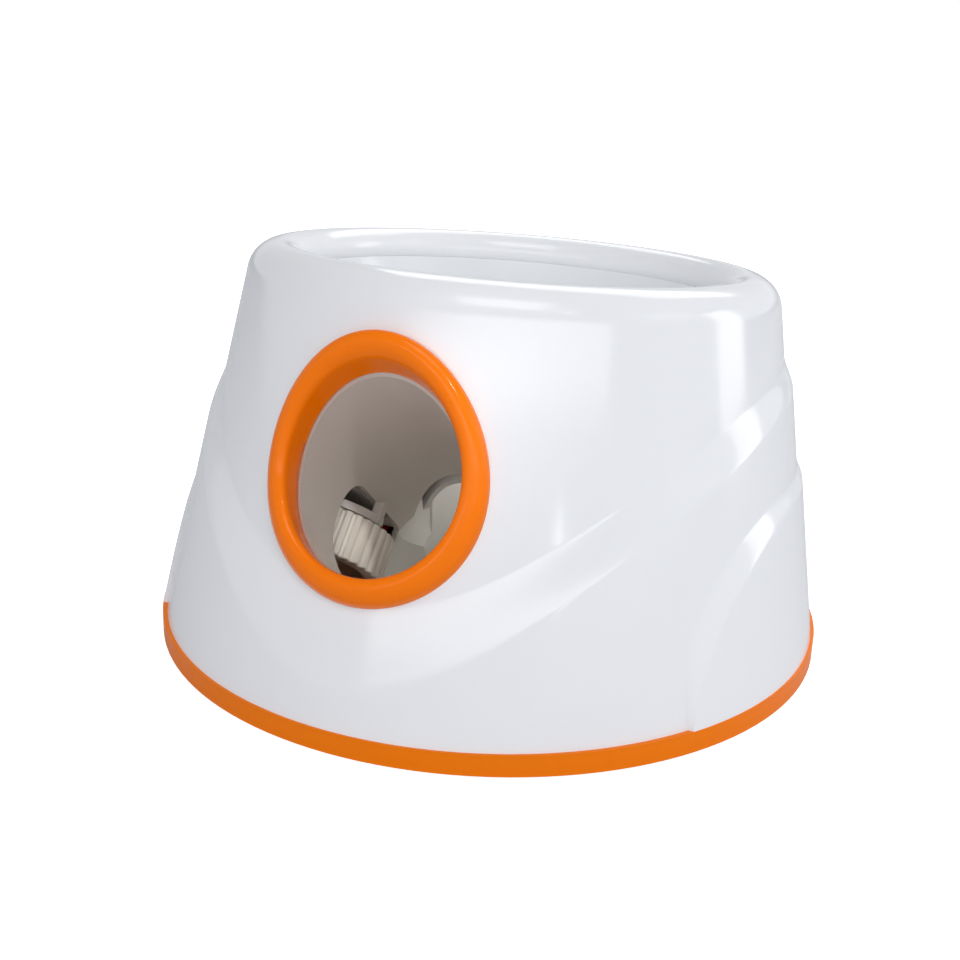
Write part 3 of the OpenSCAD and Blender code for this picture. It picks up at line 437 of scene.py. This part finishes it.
def build_tube():
    """The launch tube with a rounded slot and a guard for each wheel, and motor wings."""
    tube = lathe("tube", [[TUBE_R, TUBE_START], [TUBE_R, TUBE_END], [TUBE_OUT, TUBE_END],
                          [TUBE_OUT, TUBE_START]], 256, launch_to_row, sharp=40)
    slot = rounded([[SLOT_LOW, SLOT_FROM], [SLOT_LOW, SLOT_TO], [WING_LOW, SLOT_TO],
                    [WING_LOW, SLOT_FROM]], [0.5, 0.5, SLOT_ROUND, SLOT_ROUND], 10)
    for side in (-1, 1):
        cut(tube, lathe("well", [[0, WHEEL_LOW - 3], [WELL_R, WHEEL_LOW - 3],
                                 [WELL_R, WHEEL_HIGH + 1.2], [0, WHEEL_HIGH + 1.2]], 160,
                        wheel_at(side, 0)))
        cut(tube, prism("slot", slot, min(side * 15, side * 46), max(side * 15, side * 46),
                        lambda p: launch_to_row(p[:, [2, 0, 1]])))
    lo_s, hi_s, far = -24.0, 185.0, 400
    cut(tube, lathe("duct", [[0, lo_s], [DUCT_FLANGE, lo_s], [DUCT_FLANGE, 86], [0, 86]], 128,
                    body_to_row))
    cut(tube, lathe("face", [[wall_r(lo_s) - LINER - FIT_GAP, lo_s], [far, lo_s], [far, hi_s],
                             [wall_r(hi_s) - LINER - FIT_GAP, hi_s]], 256, body_to_row))
    mark_sharp(tube, 40)
    parts = [tube]
    for side in (-1, 1):
        lo, hi = sorted((side * WHEEL_X, side * (TUBE_R + 0.6)))
        parts.append(block("wing", [lo, WING_LOW, WHEEL_AT - WING_R],
                           [hi, WING_LOW + WING_T, WHEEL_AT + WING_R], launch_to_row))
        parts.append(lathe("wing_end", [[0, WING_LOW], [WING_R, WING_LOW],
                                        [WING_R, WING_LOW + WING_T], [0, WING_LOW + WING_T]],
                           96, wheel_at(side, 0), sharp=40))
        start = math.asin((GUARD_FROM - WHEEL_AT) / GUARD_R)
        far_a = np.linspace(start, math.pi / 2, 40)
        near_a = np.linspace(math.pi / 2, math.asin((GUARD_FROM - WHEEL_AT) / GUARD_BORE), 24)
        band = ([(side * (WHEEL_X - GUARD_R * math.cos(a)), WHEEL_AT + GUARD_R * math.sin(a))
                 for a in far_a]
                + [(side * (WHEEL_X - GUARD_BORE * math.cos(a)), WHEEL_AT + GUARD_BORE * math.sin(a))
                   for a in near_a])
        parts.append(prism("guard", band, GUARD_LOW, GUARD_LOW + GUARD_T,
                           lambda p: launch_to_row(p[:, [0, 2, 1]])))
        for x, along in ((WHEEL_X - GUARD_R + 0.9, GUARD_FROM), (WHEEL_X - 4, WHEEL_AT + WING_R - 4)):
            lo, hi = sorted((side * x, side * (x + 4)))
            parts.append(block("post", [lo, GUARD_LOW + 0.4, along],
                               [hi, WING_LOW + 0.4, along + 3.4], launch_to_row))
    return parts


def join(name, objs):
    """Joins objects into the first one and names it."""
    for o in bpy.context.selected_objects:
        o.select_set(False)
    for o in objs:
        o.select_set(True)
    bpy.context.view_layer.objects.active = objs[0]
    bpy.ops.object.join()
    objs[0].name = name
    return objs[0]


# ---------------------------------------------------------------- launch wheels
def build_wheel(side):
    """A ribbed rubber wheel with eased ribs and a bore."""
    count, depth = 34, 1.3
    rib = [(-0.5, 1), (-0.38, 1), (-0.33, 0.75), (-0.29, 0.3), (-0.22, 0.06), (-0.1, 0),
           (0.1, 0), (0.22, 0.06), (0.29, 0.3), (0.33, 0.75), (0.38, 1)]
    ang = np.array([2 * math.pi * (i + a) / count for i in range(count) for a, _ in rib])
    dep = np.array([d * depth for _ in range(count) for _, d in rib])
    sec = [(WHEEL_R - 6, 0.0, 0.0), (WHEEL_R - 2.2, 0.0, 0.0), (WHEEL_R - 0.4, 0.25, 1.0),
           (WHEEL_R, 0.7, 1.0), (WHEEL_R, WHEEL_H - 0.7, 1.0), (WHEEL_R - 0.4, WHEEL_H - 0.25, 1.0),
           (WHEEL_R - 2.2, WHEEL_H, 0.0), (SHAFT_R, WHEEL_H, 0.0), (SHAFT_R, 0.0, 0.0), (6, 0.0, 0.0),
           (6, WHEEL_H - 6, 0.0), (WHEEL_R - 6, WHEEL_H - 6, 0.0)]
    rows = []
    for r, h, k in sec:
        rr = r - k * dep
        rows.append(np.stack([rr * np.cos(ang), rr * np.sin(ang), h + 0 * ang], -1))
    grid = np.stack(rows)
    place = wheel_at(side, WHEEL_LOW)
    return add_mesh("wheel_%s" % ("left" if side < 0 else "right"), place(grid).reshape(-1, 3),
                    grid_faces(len(sec), len(ang), wrap_rows=True), sharp=35)


def build_cap(side):
    """The hub cap on top of a wheel."""
    prof = rounded([[SHAFT_R, 0], [9, 0], [9, 2.3], [5, 2.3], [5, 4.3], [SHAFT_R, 4.3]],
                   [0, 0, 0.5, 0.6, 0.4, 0.3], 5)
    return lathe("cap_%s" % ("left" if side < 0 else "right"), prof, 96,
                 wheel_at(side, WHEEL_HIGH), sharp=40)


# ---------------------------------------------------------------- materials
def rgb(code):
    """An sRGB hex colour as linear RGBA."""
    c = [int(code[i:i + 2], 16) / 255 for i in (1, 3, 5)]
    return [x / 12.92 if x <= 0.04045 else ((x + 0.055) / 1.055) ** 2.4 for x in c] + [1.0]


def add(tree, kind, links=(), **settings):
    """Adds a node: settings are its properties, inputs_ its sockets' values."""
    n = tree.nodes.new(kind)
    values = settings.pop("inputs_", {})
    for key, value in settings.items():
        setattr(n, key, value)
    for key, value in values.items():
        n.inputs[key].default_value = value
    for key, source in links:
        tree.links.new(source, n.inputs[key])
    return n


def surface(name, colour, roughness, detail=None, **sockets):
    """A Principled material; detail adds nodes and returns links for the shader."""
    mat = bpy.data.materials.new(name)
    mat.use_nodes = True
    tree = mat.node_tree
    tree.nodes.clear()
    values = {"Base Color": rgb(colour), "Roughness": roughness}
    values.update(sockets)
    links = detail(tree) if detail else ()
    shader = add(tree, "ShaderNodeBsdfPrincipled", links, inputs_=values)
    add(tree, "ShaderNodeOutputMaterial", [("Surface", shader.outputs[0])])
    return mat


def in_mm(tree):
    """Object coordinates in millimetres."""
    coord = add(tree, "ShaderNodeTexCoord")
    return add(tree, "ShaderNodeVectorMath", [(0, coord.outputs["Object"])],
               operation="SCALE", inputs_={"Scale": 1000.0}).outputs[0]


def mottle(size, low, high, bump=0.0, bump_mm=0.02):
    """Roughness that wanders between two values, and a faint relief."""
    def detail(tree):
        p = in_mm(tree)
        noise = add(tree, "ShaderNodeTexNoise", [("Vector", p)],
                    inputs_={"Scale": 1.0 / size, "Detail": 3.0})
        spread = add(tree, "ShaderNodeMapRange", [("Value", noise.outputs[0])],
                     inputs_={"From Min": 0.3, "From Max": 0.7, "To Min": low, "To Max": high})
        links = [("Roughness", spread.outputs[0])]
        if bump:
            fine = add(tree, "ShaderNodeTexNoise", [("Vector", p)],
                       inputs_={"Scale": 1.0 / bump, "Detail": 2.0})
            relief = add(tree, "ShaderNodeBump", [("Height", fine.outputs[0])],
                         inputs_={"Strength": 1.0, "Distance": bump_mm * MM})
            links.append(("Normal", relief.outputs[0]))
        return links
    return detail


MATS = {
    # Polished ABS straight from the mould: a clean, cool white that mirrors soft lights.
    "shell_white": surface("shell_white", "#F1F2F4", 0.13, mottle(60, 0.11, 0.16)),
    # The same plastic, a little duller inside where balls rub it.
    "bowl_white": surface("bowl_white", "#ECEEF0", 0.16, mottle(40, 0.13, 0.22)),
    # Glossy orange ABS: deep colour with a bright, slightly yellow sheen on the roll.
    "ring_orange": surface("ring_orange", "#FF7C00", 0.16, mottle(30, 0.14, 0.19),
                           **{"Specular IOR Level": 0.2}),
    # The ring's bore, spark-eroded and so duller than the roll outside it; its deeper orange is
    # painted shade.
    "ring_bore_painted_shade": surface("ring_bore_painted_shade", "#CC5200", 0.5, mottle(30, 0.46, 0.54),
                          **{"Specular IOR Level": 0.2}),
    # Satin orange ABS of the base.
    "base_orange": surface("base_orange", "#FB7F00", 0.32, mottle(30, 0.28, 0.38),
                           **{"Specular IOR Level": 0.15}),
    # Pale satin tube, faintly scuffed by balls; its warm tint is painted orange light bounced from
    # the ring above it.
    "tube_grey": surface("tube_grey", "#CFC9C0", 0.36, mottle(26, 0.33, 0.4)),
    # The same plastic in the breech and the chute, without the tube's painted orange light, so
    # cooler.
    "duct_grey": surface("duct_grey", "#D6D4CE", 0.36, mottle(26, 0.33, 0.4)),
    # Spark-eroded dark ABS: a fine grain that kills reflections.
    "tray_dark": surface("tray_dark", "#2E3033", 0.55, mottle(10, 0.5, 0.62, 0.8, 0.03)),
    # Cream rubber ribs: matt, with dust in the grooves.
    "wheel_rubber": surface("wheel_rubber", "#EEE8DC", 0.6, mottle(4, 0.5, 0.7, 0.6, 0.02)),
    # Nylon hub cap: satin, a little yellowed.
    "wheel_plastic": surface("wheel_plastic", "#D6D1C8", 0.4, mottle(10, 0.35, 0.48)),
    # Ground steel shaft, fine scratches blurring its highlight.
    "steel": surface("steel", "#B4B6BA", 0.28, mottle(2, 0.2, 0.36), Metallic=1.0),
    # Rolled screws, greyer and blurrier than the ground shaft.
    "screw_steel": surface("screw_steel", "#A3A5A9", 0.34, mottle(2, 0.28, 0.42), Metallic=1.0),
    # Drawn steel can with a brushed, dull mirror.
    "motor_can": surface("motor_can", "#A9ACB0", 0.3, mottle(6, 0.24, 0.38), Metallic=1.0),
    # Satin orange gate arm, rubbed dull where balls meet it.
    "gate_orange": surface("gate_orange", "#E8841A", 0.38, mottle(8, 0.33, 0.44)),
    # Glossy tinted polycarbonate of a small servo's case.
    "servo_blue": surface("servo_blue", "#2A5FA8", 0.25, mottle(8, 0.2, 0.32)),
    # Infrared window: near black, smooth as glass.
    "sensor_dark": surface("sensor_dark", "#2B2036", 0.1, mottle(4, 0.08, 0.14)),
    # Solder mask over fibreglass: glossy green with a faint weave.
    "board_green": surface("board_green", "#1C6B3A", 0.3, mottle(6, 0.25, 0.36, 0.9, 0.01)),
    # Transfer-moulded chip packages: flat black, faintly mottled.
    "chip_black": surface("chip_black", "#1C1D1F", 0.5, mottle(3, 0.42, 0.58)),
    # Shrunk vinyl sleeve of a capacitor: dark blue with a soft shine.
    "cap_sleeve": surface("cap_sleeve", "#2A3360", 0.25, mottle(4, 0.2, 0.3)),
    # Natural nylon wire sockets: cream and satin.
    "socket_cream": surface("socket_cream", "#EFE9D6", 0.4, mottle(4, 0.35, 0.46)),
    # Moulded black shell of the buzzer: satin.
    "buzzer_black": surface("buzzer_black", "#18191B", 0.45, mottle(4, 0.4, 0.5)),
    # Lighter orange button, polished by fingers.
    "button_orange": surface("button_orange", "#FF8A14", 0.22, mottle(8, 0.18, 0.28)),
    # Light pipe: clear, with a slight green tint that is painted lamp light.
    "lens_clear": surface("lens_clear", "#E6F4EA", 0.15, mottle(3, 0.1, 0.2),
                          **{"Transmission Weight": 0.7}),
    # Tinted lens of the lamp: bright green and glossy.
    "led_green": surface("led_green", "#4FD36B", 0.15, mottle(3, 0.1, 0.2)),
    # Glass-filled black nylon of the inlet: satin.
    "jack_black": surface("jack_black", "#1A1B1D", 0.4, mottle(4, 0.34, 0.48)),
    # Moulded rubber feet: dull black with a soft grain.
    "feet_rubber": surface("feet_rubber", "#2A2A2C", 0.75, mottle(3, 0.7, 0.82, 0.5, 0.03)),
    # Printed-film sleeve of a cell without its print: green with a tight shine.
    "cell_sleeve": surface("cell_sleeve", "#2F6F4E", 0.28, mottle(8, 0.22, 0.34)),
    # Nickel plate on springs and contacts: bright and slightly blurred.
    "contact_metal": surface("contact_metal", "#CDD0D5", 0.25, mottle(3, 0.2, 0.32), Metallic=1.0),
    # Soft vinyl insulation in red, black and grey: low shine, marked by handling.
    "lead_red": surface("lead_red", "#A81C1C", 0.4, mottle(3, 0.34, 0.48)),
    "lead_black": surface("lead_black", "#1A1A1C", 0.42, mottle(3, 0.36, 0.5)),
    "lead_grey": surface("lead_grey", "#D2D2D2", 0.42, mottle(3, 0.36, 0.5)),
}


def dress(obj, slot):
    """Gives a piece its finish."""
    obj.data.materials.clear()
    obj.data.materials.append(MATS[slot])


# ---------------------------------------------------------------- assembly
shell = build_shell()
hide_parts("outer_shell")
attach(shell, "case")
dress(shell, "shell_white")

bowl = build_bowl()
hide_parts("hopper_bowl")
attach(bowl, "case")
dress(bowl, "bowl_white")

ring = build_ring()
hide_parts("outlet_ring")
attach(ring, "case")
dress(ring, "ring_orange")
# The bore's darker orange is painted shade.
ring.data.materials.append(MATS["ring_bore_painted_shade"])

tube = join("tube", build_tube())
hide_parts("launch_tube")
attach(tube, "case")
dress(tube, "tube_grey")

for side, word in ((-1, "left"), (1, "right")):
    wheel = build_wheel(side)
    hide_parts(word + "_wheel")
    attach(wheel, word + "_wheel_set")
    dress(wheel, "wheel_rubber")
    cap = build_cap(side)
    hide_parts(word + "_wheel_cap")
    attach(cap, word + "_wheel_set")
    dress(cap, "wheel_plastic")

replaced = {"outer_shell", "hopper_bowl", "outlet_ring", "launch_tube", "left_wheel",
            "right_wheel", "left_wheel_cap", "right_wheel_cap"}
for part in frame["record"]["subparts"]:
    if part["node"] in replaced:
        continue
    node = frame["nodes"][part["node"]]
    node.data.materials.clear()
    node.data.materials.append(MATS[part["material_slot"]])


# ---------------------------------------------------------------- stage
floor = add_mesh("floor", np.array([[-9000, -9000, 0], [9000, -9000, 0], [9000, 9000, 0],
                                    [-9000, 9000, 0]]), [[0, 1, 2, 3]])
# A plain pale floor that only takes the object's soft shadow.
floor_mat = bpy.data.materials.new("floor")
floor_mat.use_nodes = True
tree = floor_mat.node_tree
tree.nodes.clear()
matt = add(tree, "ShaderNodeBsdfDiffuse", inputs_={"Color": rgb("#D2D3D6")})
lift = add(tree, "ShaderNodeEmission", inputs_={"Color": rgb("#FFFFFF"), "Strength": 0.95})
ray = add(tree, "ShaderNodeLightPath")
dark = add(tree, "ShaderNodeEmission", inputs_={"Color": rgb("#000000")})
pick = add(tree, "ShaderNodeMixShader", [(0, ray.outputs["Is Camera Ray"]), (1, dark.outputs[0]),
                                         (2, lift.outputs[0])])
both = add(tree, "ShaderNodeAddShader", [(0, matt.outputs[0]), (1, pick.outputs[0])])
add(tree, "ShaderNodeOutputMaterial", [("Surface", both.outputs[0])])
floor.data.materials.append(floor_mat)

world = bpy.data.worlds.new("studio")
bpy.context.scene.world = world
world.use_nodes = True
tree = world.node_tree
tree.nodes.clear()
seen = add(tree, "ShaderNodeBackground", inputs_={"Color": rgb("#FFFFFF"), "Strength": 1.0})
# A softly lit room: brightest near the horizon and to the right of the object.
coord = add(tree, "ShaderNodeTexCoord")
side_light = add(tree, "ShaderNodeVectorMath", [(0, coord.outputs["Generated"])],
                 operation="DOT_PRODUCT", inputs_={1: (0.9, -0.2, 0.0)})
across = add(tree, "ShaderNodeMapRange", [("Value", side_light.outputs["Value"])],
             inputs_={"From Min": -0.9, "From Max": 0.9, "To Min": 0.76, "To Max": 1.12})
height = add(tree, "ShaderNodeSeparateXYZ", [(0, coord.outputs["Generated"])])
band = add(tree, "ShaderNodeMapRange", [("Value", height.outputs["Z"])],
           inputs_={"From Min": 0.0, "From Max": 0.5, "To Min": 1.05, "To Max": 0.45})
level = add(tree, "ShaderNodeMath", [(0, across.outputs[0]), (1, band.outputs[0])],
            operation="MULTIPLY")
soft = add(tree, "ShaderNodeBackground", [("Strength", level.outputs[0])],
           inputs_={"Color": rgb("#F1F3F8")})
ray = add(tree, "ShaderNodeLightPath")
mix = add(tree, "ShaderNodeMixShader", [(0, ray.outputs["Is Camera Ray"]), (1, soft.outputs[0]),
                                        (2, seen.outputs[0])])
add(tree, "ShaderNodeOutputWorld", [("Surface", mix.outputs[0])])


def area(name, spot, aim, width, height, power, colour="#FFFFFF"):
    """A soft box, placed and aimed in mm."""
    light = bpy.data.lights.new(name, "AREA")
    light.shape = "RECTANGLE"
    light.size, light.size_y = width * MM, height * MM
    light.energy = power
    light.color = rgb(colour)[:3]
    obj = bpy.data.objects.new(name, light)
    obj.location = Vector(spot) * MM
    obj.rotation_euler = (Vector(aim) - Vector(spot)).to_track_quat("-Z", "Y").to_euler()
    bpy.context.scene.collection.objects.link(obj)
    return obj


area("key", (350, -950, 1750), (0, 0, 60), 1000, 900, 9.0)
area("front", (950, -2310, 830), (0, 0, 60), 4400, 260, 12.5)
area("right", (1500, 100, 900), (0, 0, 80), 700, 500, 1.0)
area("window", (1350, 830, 400), (0, 0, 100), 480, 780, 3.4)
area("back", (-200, 1300, 1300), (0, 0, 100), 1500, 900, 10.0)
area("card", (490, -500, 138), (0, 0, 70), 26, 46, 0.04)
area("hopper_glow", (0, 8, 84), (0, -14, 10), 40, 40, 0.012)

# A narrow beam into the outlet, so that the wheel inside can be made out.
BEAM_FROM, BEAM_TO = Vector((840, -735, 1055)), Vector((-6, -78, 76))
beam = bpy.data.lights.new("beam", "SPOT")
beam.energy = 24.0
beam.spot_size = math.radians(2.6)
beam.spot_blend = 0.6
beam.shadow_soft_size = 0.03
spot = bpy.data.objects.new("beam", beam)
spot.location = BEAM_FROM * MM
spot.rotation_euler = (BEAM_TO - BEAM_FROM).to_track_quat("-Z", "Y").to_euler()
bpy.context.scene.collection.objects.link(spot)

# ---------------------------------------------------------------- camera
# Solved on the photo's base circle, rim and outlet; TURN is how far it stands to the side.
YAW, PITCH, ROLL, TURN = -0.0097, 0.3418, 0.0372, math.radians(23.5)
cy, sy, cp, sp = math.cos(YAW), math.sin(YAW), math.cos(PITCH), math.sin(PITCH)
cr, sr, ca, sa = math.cos(ROLL), math.sin(ROLL), math.cos(TURN), math.sin(TURN)
turn = (np.array([[cr, 0, sr], [0, 1, 0], [-sr, 0, cr]])
        @ np.array([[1, 0, 0], [0, cp, -sp], [0, sp, cp]])
        @ np.array([[cy, -sy, 0], [sy, cy, 0], [0, 0, 1]])
        @ np.array([[ca, sa, 0], [-sa, ca, 0], [0, 0, 1]]))
lens = bpy.data.cameras.new("camera")
lens.sensor_width = 36.0
lens.lens = 54.68
lens.clip_start, lens.clip_end = 0.01, 60.0
camera = bpy.data.objects.new("camera", lens)
bpy.context.scene.collection.objects.link(camera)
pose = np.eye(4)
pose[:3, 0], pose[:3, 1], pose[:3, 2] = turn[0], turn[2], -turn[1]
pose[:3, 3] = np.array([217.28, -499.72, 250.11 + FOOT]) * MM
camera.matrix_world = Matrix(pose.tolist())
bpy.context.scene.camera = camera
bpy.context.scene.view_settings.view_transform = "Standard"
